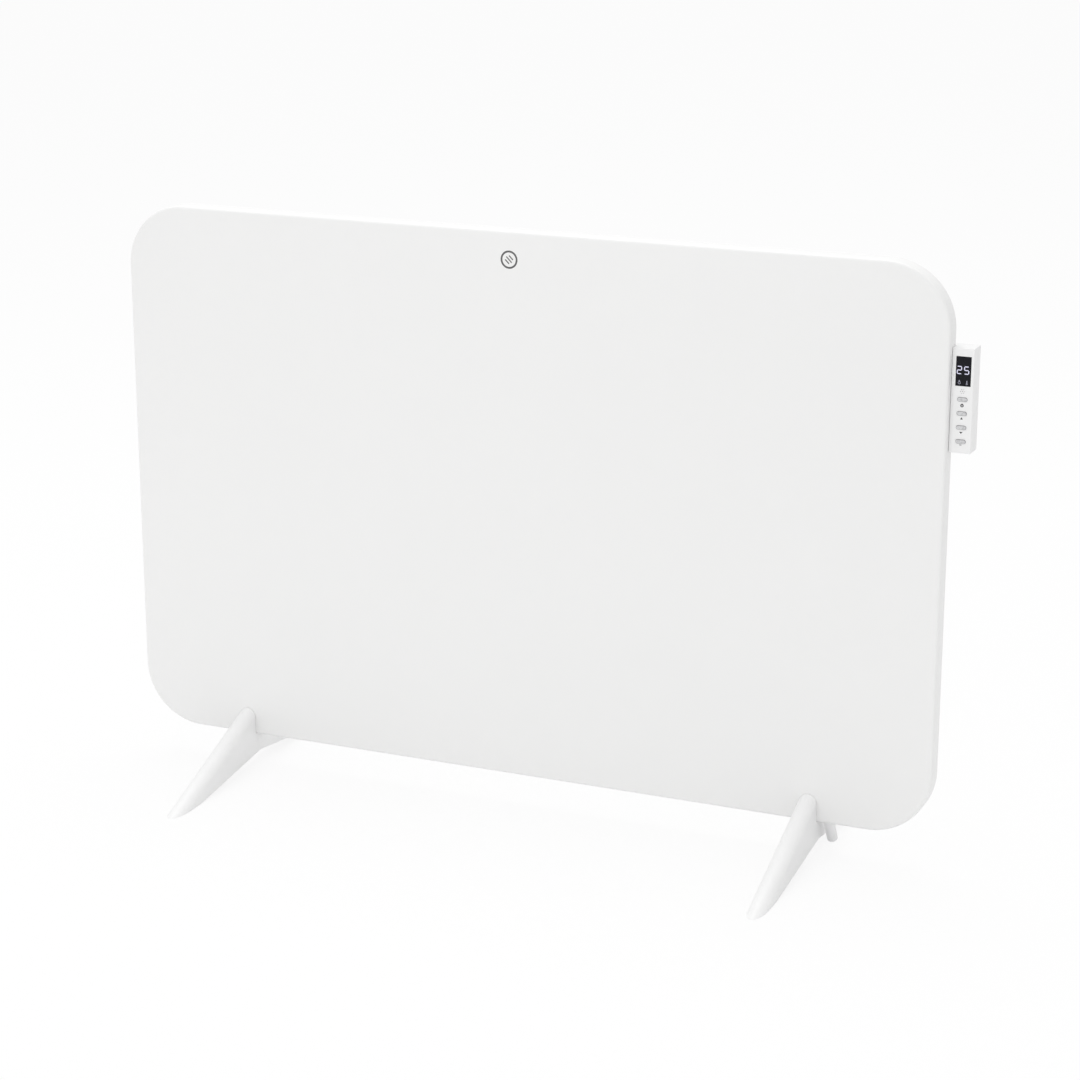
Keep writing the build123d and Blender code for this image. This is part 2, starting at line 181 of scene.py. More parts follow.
def pick_edges(piece, wanted):
    """Select the edges of a piece whose two ends pass a test, and stay in edge mode."""
    bpy.context.view_layer.objects.active = piece
    bpy.ops.object.mode_set(mode="EDIT")
    bpy.ops.mesh.select_mode(type="EDGE")
    bpy.ops.mesh.select_all(action="DESELECT")
    bpy.ops.object.mode_set(mode="OBJECT")
    corners = piece.data.vertices
    for edge in piece.data.edges:
        first, second = (corners[index].co for index in edge.vertices)
        edge.select = wanted(first, second)
    bpy.ops.object.mode_set(mode="EDIT")


def pick_faces(piece, wanted):
    """Select the faces of a piece that pass a test on their normal and centre."""
    bpy.context.view_layer.objects.active = piece
    bpy.ops.object.mode_set(mode="EDIT")
    bpy.ops.mesh.select_mode(type="FACE")
    bpy.ops.mesh.select_all(action="DESELECT")
    bpy.ops.object.mode_set(mode="OBJECT")
    for face in piece.data.polygons:
        face.select = wanted(face.normal, face.center)
    bpy.ops.object.mode_set(mode="EDIT")


def leave(piece, angle=35):
    """Close edit mode and smooth the shading across shallow angles."""
    bpy.ops.object.mode_set(mode="OBJECT")
    deselect()
    piece.select_set(True)
    bpy.context.view_layer.objects.active = piece
    bpy.ops.object.shade_smooth_by_angle(angle=radians(angle))


def apply_modifiers(piece):
    bpy.context.view_layer.objects.active = piece
    for modifier in list(piece.modifiers):
        bpy.ops.object.modifier_apply(modifier=modifier.name)


def runs_along(axis):
    """Test for edges that run along one axis."""
    across = [index for index in range(3) if index != axis]

    def wanted(first, second):
        straight = all(abs(first[index] - second[index]) < NEAR for index in across)
        return straight and abs(first[axis] - second[axis]) > NEAR

    return wanted


def lies_at(axis, level):
    """Test for edges whose two ends lie at one level."""
    return lambda first, second: all(abs(end[axis] - level) < NEAR for end in (first, second))


def rounded_slab(name, low, high, corner, segments, edge=0.0):
    """A slab that faces the room, with round corners and, where wanted, a soft front edge."""
    slab = block(name, low, high)
    pick_edges(slab, runs_along(1))
    bpy.ops.mesh.bevel(offset=corner, segments=segments, affect="EDGES")
    bpy.ops.object.mode_set(mode="OBJECT")
    if edge:
        pick_edges(slab, lies_at(1, low[1]))
        bpy.ops.mesh.bevel(offset=edge, segments=6, affect="EDGES")
        bpy.ops.object.mode_set(mode="OBJECT")
    return slab


def finish_piece(piece, material, body, *nodes):
    """Give a piece its finish and its body, and let it stand for its CAD nodes."""
    piece.data.materials.clear()
    piece.data.materials.append(material)
    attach(piece, body)
    if nodes:
        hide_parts(*nodes)


panel_white = powder_coat("panel_powder_coat", WHITE_COAT)
panel = rounded_slab("panel_tray", panel_low, panel_high, PANEL_CORNER, 32, PANEL_EDGE)
pick_faces(panel, lambda normal, centre: normal.y > FACING)
bpy.ops.mesh.delete(type="FACE")
bpy.ops.object.mode_set(mode="OBJECT")
wall = panel.modifiers.new("sheet", "SOLIDIFY")
wall.thickness = PANEL_SHEET
wall.offset = -1.0
apply_modifiers(panel)
leave(panel, 30)
finish_piece(panel, panel_white, "heater", "front_panel")

# Rear cover: flat 0.8 mm steel sheet with two pressed stiffening beads, let into the back of
# the tray on its lugs and held by six zinc-plated pan-head screws. It carries four rivet nuts.

COVER_PEEL = 0.2
COVER_RECESS = 0.8 * MM
COVER_SCREW = 6 * MM
LUG_REACH = 9 * MM
LUG_HALF_SPACING = 240 * MM
SCREW_HEAD = 2.8 * MM
SCREW_SHANK = 1.25 * MM
SCREW_RISE = 1.7 * MM
HEAD_EDGE = 0.55 * SCREW_RISE
RECESS_FLOOR = 0.5 * SCREW_RISE
RECESS_TOP = 1.5 * SCREW_RISE
RECESS_REACH = 0.6 * SCREW_HEAD
RECESS_LINE = 0.125 * SCREW_HEAD
SHANK_OVERLAP = 0.1 * SCREW_RISE
ZINC = (0.62, 0.63, 0.65, 1.0)
DARK_ZINC = (0.56, 0.57, 0.6, 1.0)
PALE_ZINC = (0.68, 0.69, 0.7, 1.0)


def wear(node, material):
    """Give a CAD node its finish."""
    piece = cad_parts[node]
    piece.data.materials.clear()
    piece.data.materials.append(material)


def zinc(name):
    """Zinc plate: dull blue-grey metal with a faint spangle."""
    plate = Finish(name, ZINC, 0.34, Metallic=1.0)
    plate.feed(Base_Color=plate.mix(plate.noise(400.0), DARK_ZINC, PALE_ZINC))
    plate.feed(Roughness=0.3 + 0.14 * plate.noise(700.0))
    return plate.material


wear("rear_cover", powder_coat("cover_powder_coat", WHITE_COAT, COVER_PEEL))
plated = zinc("zinc_plate")
for node in ("wall_inserts", "weld_nuts", "foot_screws"):
    wear(node, plated)


def carve(piece, tool, operation="DIFFERENCE"):
    """Cut one piece with another, or weld them, which uses up the second."""
    change = piece.modifiers.new("carve", "BOOLEAN")
    change.operation = operation
    change.solver = "EXACT"
    change.object = tool
    apply_modifiers(piece)
    bpy.data.objects.remove(tool, do_unlink=True)


def rod(name, radius, length, middle, turn=(0, 0, 0), sides=48):
    """Round bar about its middle, upright until it is turned."""
    deselect()
    bpy.ops.mesh.primitive_cylinder_add(
        vertices=sides, radius=radius, depth=length, location=middle, rotation=turn
    )
    piece = bpy.context.object
    piece.name = name
    piece.data.name = name
    settle(piece)
    return piece


def bar(name, radius, front, back, x, z, sides=48):
    """Round bar that runs front to back."""
    return rod(name, radius, back - front, (x, (front + back) / 2, z), (pi / 2, 0, 0), sides)


def pan_screw(name, seat, x, z, length):
    """Pan-head screw with a cross recess, driven forwards down to its seat."""
    head = bar(name, SCREW_HEAD, seat, seat + SCREW_RISE, x, z)
    pick_edges(head, lies_at(1, seat + SCREW_RISE))
    bpy.ops.mesh.bevel(offset=HEAD_EDGE, segments=5, affect="EDGES")
    bpy.ops.object.mode_set(mode="OBJECT")
    for across, up in ((RECESS_REACH, RECESS_LINE), (RECESS_LINE, RECESS_REACH)):
        low = (x - across, seat + RECESS_FLOOR, z - up)
        high = (x + across, seat + RECESS_TOP, z + up)
        carve(head, block("recess", low, high))
    shank = bar("shank", SCREW_SHANK, seat - length, seat + SHANK_OVERLAP, x, z, 24)
    carve(head, shank, "UNION")
    leave(head)
    finish_piece(head, plated, "heater")


cover_back = panel_high[1] - COVER_RECESS
middle_x = (panel_low[0] + panel_high[0]) / 2
middle_z = (panel_low[2] + panel_high[2]) / 2
cover_screws = [(panel_low[0] + LUG_REACH, middle_z), (panel_high[0] - LUG_REACH, middle_z)]
for side in (-1, 1):
    for level in (panel_low[2] + LUG_REACH, panel_high[2] - LUG_REACH):
        cover_screws.append((middle_x + side * LUG_HALF_SPACING, level))
for number, (x, z) in enumerate(cover_screws, 1):
    pan_screw(f"cover_screw_{number}", cover_back, x, z, COVER_SCREW)

# Heating stack: a black carbon laminate with two copper strips, bright foil and a rigid fibre
# board behind it, two disc thermostats and the mains terminals. The rear cover closes it in.


def speckled(name, dark, light, roughness, scale, **constants):
    """A plain material with a mottled colour and a little grain."""
    mottled = Finish(name, light, roughness, **constants)
    grain = mottled.noise(scale, 4.0)
    mottled.feed(Base_Color=mottled.mix(grain, dark, light))
    mottled.feed(Roughness=roughness - 0.05 + 0.1 * grain)
    mottled.grain(grain, 0.2, 0.3 * MM)
    return mottled.material


carbon = speckled("carbon_laminate", (0.02, 0.02, 0.02, 1), (0.05, 0.05, 0.055, 1), 0.4, 300.0)
copper = speckled(
    "copper_strip", (0.55, 0.28, 0.18, 1), (0.72, 0.42, 0.3, 1), 0.3, 200.0, Metallic=1.0
)
foil = speckled("foil", (0.8, 0.8, 0.82, 1), (0.9, 0.9, 0.9, 1), 0.25, 80.0, Metallic=1.0)
fibre = speckled("fibre_board", (0.62, 0.56, 0.38, 1), (0.8, 0.74, 0.55, 1), 0.85, 500.0)
steatite = speckled("steatite", (0.78, 0.76, 0.7, 1), (0.86, 0.85, 0.8, 1), 0.35, 250.0)
wear("heating_board", carbon)
wear("bus_bars", copper)
wear("reflector_foil", foil)
wear("insulation_board", fibre)
for node in ("upper_thermal_cutout", "lower_thermal_cutout", "terminal_block"):
    wear(node, steatite)

# Feet: two hollow mouldings in satin white plastic. Each has a half-round upper edge, a saddle
# slotted for the panel's lower edge, and ribs in its hollow core. One M5 screw holds each.

FOOT_WIDTH = 19.4 * MM
FOOT_WALL = 2.4 * MM
FOOT_CREST = 67.4 * MM
FOOT_REACH = 182 * MM
FOOT_SOLE = 50 * MM
FOOT_ARCH = 16.5 * MM
FOOT_SLOT = 20.5 * MM
FOOT_EDGE = 0.5 * MM
SLOT_MARGIN = 10 * MM
SLOPE_START = 10 * MM
FOOT_SLOPE = FOOT_CREST / (FOOT_REACH - SLOPE_START)
ROUND_SHARE = 0.998
CORE_REACH = 150 * MM
CORE_SADDLE = 17 * MM
CORE_BAYS = 5
CORE_DROP = 1 * MM
RIB = 1.8 * MM
WELL_RADIUS = 4.8 * MM
WELL_LENGTH = 60 * MM
WELL_MIDDLE = 1.5 * MM
FOOT_WHITE = (0.905, 0.905, 0.905, 1.0)


def cut(piece, point, outward):
    """Slice a piece with a plane, throw away the side that outward points to, and close it."""
    bpy.context.view_layer.objects.active = piece
    bpy.ops.object.mode_set(mode="EDIT")
    bpy.ops.mesh.select_all(action="SELECT")
    bpy.ops.mesh.bisect(plane_co=point, plane_no=outward, use_fill=True, clear_outer=True)
    bpy.ops.object.mode_set(mode="OBJECT")


def soften(piece, width, segments, angle):
    """Bevel all edges that are sharper than an angle."""
    edges = piece.modifiers.new("soft edges", "BEVEL")
    edges.width = width
    edges.segments = segments
    edges.limit_method = "ANGLE"
    edges.angle_limit = radians(angle)
    apply_modifiers(piece)


def arm(name, x, width, inset, below=0.0):
    """Bar with a half-round upper edge along a foot's front arm, cut by the floor and the arch."""
    radius = width / 2
    low = (-radius, -2 * FOOT_REACH, -4 * FOOT_CREST)
    length = block(name, low, (radius, 2 * FOOT_REACH, 0))
    pick_edges(length, lambda first, second: runs_along(1)(first, second) and first.z > -NEAR)
    bpy.ops.mesh.bevel(offset=ROUND_SHARE * radius, segments=32, affect="EDGES")
    bpy.ops.object.mode_set(mode="OBJECT")
    tilt = atan(FOOT_SLOPE)
    length.rotation_euler = (tilt, 0, 0)
    length.location = (x, 0, FOOT_CREST + FOOT_SLOPE * SLOPE_START - inset / cos(tilt))
    settle(length)
    cut(length, (0, 0, 0), (0, 1, 0))
    cut(length, (0, 0, -below), (0, 0, -1))
    cut(length, (0, 0, FOOT_ARCH - below), (0, FOOT_ARCH / (FOOT_REACH - FOOT_SOLE), -1))
    return length


def make_foot(name, x):
    """A front arm with its ribbed core, mirrored to the rear, with its slot and screw well."""
    foot = arm(name, x, FOOT_WIDTH, 0.0)
    bay = (CORE_REACH - CORE_SADDLE) / CORE_BAYS
    for index in range(CORE_BAYS):
        core = arm("core", x, FOOT_WIDTH - 2 * FOOT_WALL, FOOT_WALL, CORE_DROP)
        far = -CORE_SADDLE - (index + 1) * bay + RIB / 2
        near = -CORE_SADDLE - index * bay - RIB / 2
        cut(core, (0, far, 0), (0, -1, 0))
        cut(core, (0, near, 0), (0, 1, 0))
        carve(foot, core)
    pick_faces(foot, lambda normal, centre: normal.y > FACING and abs(centre.y) < NEAR)
    bpy.ops.mesh.delete(type="FACE")
    bpy.ops.object.mode_set(mode="OBJECT")
    mirrored = foot.modifiers.new("rear arm", "MIRROR")
    mirrored.use_axis = (False, True, False)
    mirrored.merge_threshold = 10 * NEAR
    apply_modifiers(foot)
    slot_reach = FOOT_WIDTH / 2 + SLOT_MARGIN
    slot_low = (x - slot_reach, -FOOT_SLOT / 2, panel_low[2])
    slot_high = (x + slot_reach, FOOT_SLOT / 2, 2 * FOOT_CREST)
    carve(foot, block("slot", slot_low, slot_high))
    carve(foot, rod("well", WELL_RADIUS, WELL_LENGTH, (x, 0, WELL_MIDDLE)))
    soften(foot, FOOT_EDGE, 3, 40)
    leave(foot, 32)
    return foot


def moulded(name, colour, roughness=0.4):
    """Satin moulded plastic with a fine spark-eroded texture."""
    plastic = Finish(name, colour, roughness, Specular_IOR_Level=0.5)
    plastic.feed(Base_Color=plastic.mix(plastic.noise(30.0), slightly_darker(colour), colour))
    plastic.feed(Roughness=roughness - 0.04 + 0.08 * plastic.noise(500.0))
    plastic.grain(plastic.noise(1600.0, 3.0), 0.1, 0.1 * MM)
    return plastic.material


foot_plastic = moulded("foot_plastic", FOOT_WHITE)
for node in ("left_foot", "right_foot"):
    low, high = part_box(node)
    foot = make_foot(node + "_moulding", (low[0] + high[0]) / 2)
    finish_piece(foot, foot_plastic, "heater", node)

# Cord gland: a slanting sleeve of white plastic in the panel's underside, behind the right foot.
# It is pushed in from inside against its flange. Its bore is empty.

GLAND_RADIUS = 5.45 * MM
GLAND_BORE = 3.7 * MM
GLAND_FLANGE = 6.9 * MM
FLANGE_LENGTH = 2.4 * MM
GLAND_LENGTH = 28 * MM
GLAND_INSIDE = 5 * MM
GLAND_LIP = 0.4 * MM
GLAND_TILT = radians(30)
GLAND_SIDES = 96
GLAND_WHITE = (0.86, 0.86, 0.865, 1.0)
gland_low, gland_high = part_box("cord_gland")
gland_x = (gland_low[0] + gland_high[0]) / 2


def slanting(name, radius, start, end):
    """Round bar along the gland's slanting axis, between two distances from the panel's edge."""
    way = (start + end) / 2
    middle = (gland_x, way * sin(GLAND_TILT), panel_low[2] - way * cos(GLAND_TILT))
    return rod(name, radius, end - start, middle, (GLAND_TILT, 0, 0), GLAND_SIDES)


gland = slanting("cord_gland_sleeve", GLAND_RADIUS, -GLAND_INSIDE, GLAND_LENGTH)
flange_level = panel_low[2] + PANEL_SHEET + FLANGE_LENGTH / 2
flange = rod("flange", GLAND_FLANGE, FLANGE_LENGTH, (gland_x, 0, flange_level), sides=GLAND_SIDES)
carve(gland, flange, "UNION")
carve(gland, slanting("bore", GLAND_BORE, -2 * GLAND_LENGTH, 2 * GLAND_LENGTH))
soften(gland, GLAND_LIP, 3, 50)
leave(gland)
finish_piece(gland, moulded("gland_plastic", GLAND_WHITE, 0.5), "heater", "cord_gland")

# Control box: an L-shaped moulding in satin white plastic beside and behind the panel, with a
# lid screwed on at the back and the two circuits inside.

BOX_WIDTH = 21.6 * MM
BOX_WALL = 1.6 * MM
BOX_EDGE = 0.5 * MM
BOX_SCREW = 5 * MM
BOX_WHITE = (0.87, 0.87, 0.87, 1.0)
SCREW_INSET = 5 * MM
INNER_SCREW_REACH = 22 * MM
INNER_SCREW_INSET = 7.2 * MM
WINDOW_PLAY = 0.1 * MM
KEY_LENGTH = 10.2 * MM
KEY_HEIGHT = 4.4 * MM
KEYS = ("power", "up", "down", "mode")
OVAL_SHARE = 0.495
HOLE_RADIUS = 0.4 * MM
HOLE_RING = 2.0 * MM
SOUND_DROP = 41.8 * MM
CONTROL_REACH = 11.4 * MM
box_low, box_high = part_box("control_housing")
face_left = box_high[0] - BOX_WIDTH
control_x = face_left + CONTROL_REACH
opening_front = box_low[1] - BOX_WALL
opening_back = box_low[1] + 1.1 * BOX_WALL

housing = block("control_box", (face_left, box_low[1], box_low[2]), box_high)
rear_low = (box_low[0], panel_high[1], box_low[2])
carve(housing, block("rear_half", rear_low, box_high), "UNION")
soften(housing, BOX_EDGE, 4, 60)
room_low = (face_left + BOX_WALL, box_low[1] + BOX_WALL, box_low[2] + BOX_WALL)
room_high = (box_high[0] - BOX_WALL, 2 * box_high[1], box_high[2] - BOX_WALL)
carve(housing, block("room", room_low, room_high))
rear_room_low = (box_low[0] + BOX_WALL, panel_high[1] + BOX_WALL, box_low[2] + BOX_WALL)
carve(housing, block("rear_room", rear_room_low, room_high))
window_low, window_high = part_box("display_window")
front = (window_low[0] - WINDOW_PLAY, opening_front, window_low[2] - WINDOW_PLAY)
back = (window_high[0] + WINDOW_PLAY, opening_back, window_high[2] + WINDOW_PLAY)
carve(housing, block("window_opening", front, back))

key_levels = {}
for key in KEYS:
    low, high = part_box(key + "_button")
    key_levels[key] = (low[2] + high[2]) / 2
    front = (control_x - KEY_LENGTH / 2, opening_front, key_levels[key] - KEY_HEIGHT / 2)
    back = (control_x + KEY_LENGTH / 2, opening_back, key_levels[key] + KEY_HEIGHT / 2)
    carve(housing, rounded_slab("key_opening", front, back, OVAL_SHARE * KEY_HEIGHT, 16))
sound_level = box_high[2] - SOUND_DROP
sound_turns = [step * pi / 3 for step in range(6)]
sound_places = [(0.0, 0.0)] + [(HOLE_RING * cos(a), HOLE_RING * sin(a)) for a in sound_turns]
for across, up in sound_places:
    x = control_x + across
    z = sound_level + up
    carve(housing, bar("sound_hole", HOLE_RADIUS, opening_front, opening_back, x, z, 24))
leave(housing, 40)
box_plastic = moulded("box_plastic", BOX_WHITE, 0.45)
finish_piece(housing, box_plastic, "heater", "control_housing")
wear("control_lid", box_plastic)

LID_SCREWS = (
    (box_low[0] + SCREW_INSET, box_high[2] - SCREW_INSET),
    (box_high[0] - SCREW_INSET, box_low[2] + SCREW_INSET),
)
for number, (x, z) in enumerate(LID_SCREWS, 1):
    pan_screw(f"lid_screw_{number}", box_high[1] - SCREW_RISE, x, z, BOX_SCREW)
inner_x = box_low[0] + INNER_SCREW_REACH
inner_levels = (box_low[2] + INNER_SCREW_INSET, box_high[2] - INNER_SCREW_INSET)
for number, level in enumerate(inner_levels, 1):
    pan_screw(f"box_screw_{number}", panel_high[1] + BOX_WALL, inner_x, level, BOX_SCREW)

green = speckled("solder_resist", (0.02, 0.16, 0.06, 1), (0.04, 0.24, 0.1, 1), 0.3, 300.0)
for node in ("control_circuit", "power_circuit"):
    wear(node, green)
black = speckled("black_moulding", (0.012, 0.012, 0.012, 1), (0.03, 0.03, 0.03, 1), 0.4, 300.0)
for node in ("push_switches", "sounder", "relay", "tilt_switch", "display_module"):
    wear(node, black)
resin = speckled("yellow_resin", (0.6, 0.42, 0.05, 1), (0.75, 0.55, 0.1, 1), 0.3, 200.0)
wear("capacitor", resin)

# Display: a smoked window, let in flush, over a two-digit seven-segment block that shows 25,
# with two small lamps beneath the digits. The segments are lit in a cool white.

DIGIT_HEIGHT = 7.9 * MM
DIGIT_WIDTH = 5.0 * MM
DIGIT_PITCH = 7.0 * MM
DIGIT_SHIFT = -0.5 * MM
DIGIT_DROP = 21.2 * MM
SEGMENT = 0.85 * MM
SEGMENT_GAP = 0.12 * MM
SEGMENT_CORNER = 0.48 * SEGMENT
PRINT = 0.04 * MM
WINDOW_BLACK = (0.014, 0.014, 0.018, 1.0)
WINDOW_SHADE = (0.011, 0.011, 0.014, 1.0)
UNLIT = (0.05, 0.05, 0.06, 1.0)
LIT_WHITE = (0.82, 0.81, 1.0, 1.0)

smoked = Finish("smoked_window", WINDOW_BLACK, 0.2, Specular_IOR_Level=0.08)
smoked.feed(Base_Color=smoked.mix(smoked.noise(120.0), WINDOW_SHADE, WINDOW_BLACK))
wear("display_window", smoked.material)


def glowing(name, strength, shade):
    """A clear diffuser over a small white lamp, with the faintest mottle."""
    diffuser = Finish(name, UNLIT, 0.4, Emission_Color=LIT_WHITE, Emission_Strength=strength)
    diffuser.feed(Emission_Color=diffuser.mix(diffuser.noise(2000.0), shade, LIT_WHITE))
    return diffuser.material


def printed(name, material, x, z, width, height, corner):
    """Thin plate about a point on the face of the control box, with its corners cut."""
    low = (x - width / 2, box_low[1] - PRINT, z - height / 2)
    high = (x + width / 2, box_low[1], z + height / 2)
    plate = rounded_slab(name, low, high, corner, 1)
    leave(plate)
    finish_piece(plate, material, "heater")


SEGMENTS = {"2": "abged", "5": "afgcd"}
lit = glowing("lit_segment", 0.95, (0.78, 0.77, 1.0, 1.0))
digit_level = box_high[2] - DIGIT_DROP
half_height = DIGIT_HEIGHT / 2 - SEGMENT / 2
half_width = DIGIT_WIDTH / 2 - SEGMENT / 2
lying_length = 2 * (half_width - SEGMENT_GAP)
upright_length = half_height - 2 * SEGMENT_GAP
LEVELS = {"a": half_height, "g": 0.0, "d": -half_height}
UPRIGHTS = {"b": (1, 1), "c": (1, -1), "e": (-1, -1), "f": (-1, 1)}
for place, digit in enumerate("25"):
    digit_x = control_x + DIGIT_SHIFT + (place - 0.5) * DIGIT_PITCH
    for letter in SEGMENTS[digit]:
        name = f"segment_{digit}_{letter}"
        if letter in LEVELS:
            z = digit_level + LEVELS[letter]
            printed(name, lit, digit_x, z, lying_length, SEGMENT, SEGMENT_CORNER)
        else:
            side, level = UPRIGHTS[letter]
            x = digit_x + side * half_width
            z = digit_level + level * half_height / 2
            printed(name, lit, x, z, SEGMENT, upright_length, SEGMENT_CORNER)


def flat_ring(name, material, x, z, front, radius, line, sides=96):
    """Thin printed ring that faces the room."""
    ring = bar(name, radius + line / 2, front - PRINT, front, x, z, sides)
    carve(ring, bar("inside", radius - line / 2, front - 2 * PRINT, front + PRINT, x, z, sides))
    leave(ring)
    finish_piece(ring, material, "heater")


def wedge(name, material, x, z, radius, turn, flat=1.0):
    """Thin printed triangle that points up, or down after half a turn."""
    mark = bar(name, radius, box_low[1] - PRINT, box_low[1], 0, 0, 3)
    mark.rotation_euler = (0, turn, 0)
    mark.scale = (1, 1, flat)
    mark.location = (x, 0, z)
    settle(mark)
    leave(mark)
    finish_piece(mark, material, "heater")


LAMP_DROP = 33.1 * MM
LAMP_HALF_PITCH = 3.7 * MM
LAMP_LINE = 0.4 * MM
FLAME_RADIUS = 1.1 * MM
FLAME_DROP = 0.5 * MM
FLAME_TIP = 1.0 * MM
FLAME_TIP_RISE = 1.4 * MM
TUBE_WIDTH = 0.7 * MM
TUBE_HEIGHT = 2.6 * MM
TUBE_RISE = 0.7 * MM
TUBE_CORNER = 0.1 * MM
BULB_RADIUS = 0.65 * MM
BULB_DROP = 1.2 * MM
dim = glowing("dim_lamp", 0.4, (0.7, 0.72, 0.9, 1.0))
lamp_level = box_high[2] - LAMP_DROP
warm_x = control_x - LAMP_HALF_PITCH
room_x = control_x + LAMP_HALF_PITCH
flame_level = lamp_level - FLAME_DROP
bulb_level = lamp_level - BULB_DROP
flat_ring("warm_lamp_base", dim, warm_x, flame_level, box_low[1], FLAME_RADIUS, LAMP_LINE, 32)
wedge("warm_lamp_tip", dim, warm_x, lamp_level + FLAME_TIP_RISE, FLAME_TIP, 0.0)
tube_level = lamp_level + TUBE_RISE
printed("room_lamp_stem", dim, room_x, tube_level, TUBE_WIDTH, TUBE_HEIGHT, TUBE_CORNER)
flat_ring("room_lamp_bulb", dim, room_x, bulb_level, box_low[1], BULB_RADIUS, LAMP_LINE, 32)

# Keys: four grey oval caps with a soft edge, a retaining flange and a stem that reaches the
# switch. Each stands 0.7 mm proud, and a small symbol is printed below it.

KEY_FIT = 0.12 * MM
KEY_EDGE = 0.35 * MM
KEY_FLANGE = 0.8 * MM
KEY_OVERLAP = 0.2 * MM
KEY_FACING = 0.95
STEM = 3.0 * MM
STEM_RIB = 1.0 * MM
key_face = speckled("key_plastic", (0.3, 0.3, 0.31, 1), (0.86, 0.86, 0.87, 1), 0.42, 620.0)
# A dark grey that paints shade on the key caps' rims; the mode symbol is printed in it too.
key_rim_shade_and_mode_ink = speckled("key_rim_shade_and_mode_ink", (0.2, 0.2, 0.205, 1), (0.34, 0.34, 0.35, 1), 0.5, 900.0)
reach = KEY_LENGTH / 2 - KEY_FIT
rise = KEY_HEIGHT / 2 - KEY_FIT
flange_front = box_low[1] + BOX_WALL + KEY_FIT
flange_back = flange_front + KEY_FLANGE
for key in KEYS:
    low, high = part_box(key + "_button")
    level = key_levels[key]
    cap_low = (control_x - reach, low[1], level - rise)
    cap_high = (control_x + reach, flange_front + KEY_OVERLAP, level + rise)
    cap = rounded_slab(key + "_key_cap", cap_low, cap_high, OVAL_SHARE * 2 * rise, 16, KEY_EDGE)
    flange_low = (low[0], flange_front, low[2])
    carve(cap, block("flange", flange_low, (high[0], flange_back, high[2])), "UNION")
    for across, up in ((STEM, STEM_RIB), (STEM_RIB, STEM)):
        rib_low = (control_x - across / 2, flange_front, level - up / 2)
        rib_high = (control_x + across / 2, high[1], level + up / 2)
        carve(cap, block("stem_rib", rib_low, rib_high), "UNION")
    leave(cap, 30)
    finish_piece(cap, key_face, key + "_key", key + "_button")
    # Painted shade: every face of the cap that doesn't face the room gets the dark grey, which paints
    # shade on the cap's rim.
    cap.data.materials.append(key_rim_shade_and_mode_ink)
    for face in cap.data.polygons:
        face.material_index = 0 if face.normal.y < -KEY_FACING else 1

SYMBOL_DROP = {"power": 5.9 * MM, "up": 5.0 * MM, "down": 4.8 * MM, "mode": 3.3 * MM}
POWER_RADIUS = 1.2 * MM
POWER_LINE = 0.9 * MM
POWER_BAR_WIDTH = 0.6 * MM
POWER_BAR_HEIGHT = 2.0 * MM
POWER_BAR_CORNER = 0.05 * MM
UP_RADIUS = 1.5 * MM
DOWN_RADIUS = 1.9 * MM
DOWN_FLAT = 0.65
MODE_WIDTH = 2.4 * MM
MODE_HEIGHT = 0.8 * MM
MODE_CORNER = 0.1 * MM
ink = speckled("grey_ink", (0.02, 0.02, 0.022, 1), (0.04, 0.04, 0.045, 1), 0.6, 2000.0)
symbol_levels = {key: key_levels[key] - SYMBOL_DROP[key] for key in KEYS}
ring_level = symbol_levels["power"]
bar_level = ring_level + POWER_BAR_HEIGHT / 2
flat_ring("power_symbol_ring", ink, control_x, ring_level, box_low[1], POWER_RADIUS, POWER_LINE, 32)
printed(
    "power_symbol_bar", ink, control_x, bar_level, POWER_BAR_WIDTH, POWER_BAR_HEIGHT, POWER_BAR_CORNER
)
wedge("up_symbol", ink, control_x, symbol_levels["up"], UP_RADIUS, 0.0)
wedge("down_symbol", ink, control_x, symbol_levels["down"], DOWN_RADIUS, pi, DOWN_FLAT)
mode_level = symbol_levels["mode"]
# The mode symbol is printed in the same dark grey that paints shade on the key rims.
printed("mode_symbol", key_rim_shade_and_mode_ink, control_x, mode_level, MODE_WIDTH, MODE_HEIGHT, MODE_CORNER)

# Front mark: a dark grey printed ring, high on the panel's middle. Three short strokes slant
# inside it like rising warmth, and none of them reaches the ring.

MARK_RADIUS = 8.3 * MM
MARK_LINE = 1.9 * MM
MARK_DROP = 28.7 * MM
MARK_SHIFT = -6.3 * MM
STROKE_LINE = 1.2 * MM
STROKE_PITCH = 3.0 * MM
STROKE_SLANT = radians(45)
STROKES = (("upper_stroke", 1, 0.36), ("middle_stroke", 0, 0.5), ("lower_stroke", -1, 0.36))
mark_ink = speckled("mark_ink", (0.09, 0.088, 0.09, 1), (0.13, 0.128, 0.13, 1), 0.6, 900.0)
mark_x = middle_x + MARK_SHIFT
mark_z = panel_high[2] - MARK_DROP
flat_ring("front_mark_ring", mark_ink, mark_x, mark_z, panel_low[1], MARK_RADIUS, MARK_LINE)
for name, step, share in STROKES:
    reach = share * MARK_RADIUS
    offset = step * STROKE_PITCH
    low = (-reach, panel_low[1] - PRINT, offset - STROKE_LINE / 2)
    high = (reach, panel_low[1], offset + STROKE_LINE / 2)
    stroke = block(name, low, high)
    stroke.rotation_euler = (0, STROKE_SLANT, 0)
    stroke.location = (mark_x, 0, mark_z)
    settle(stroke)
    leave(stroke)
    finish_piece(stroke, mark_ink, "heater")

# Studio: a plain pale floor, two large soft lamps and an even pale surround. The camera looks
# at the heater from the right and a little above, as in the photograph.

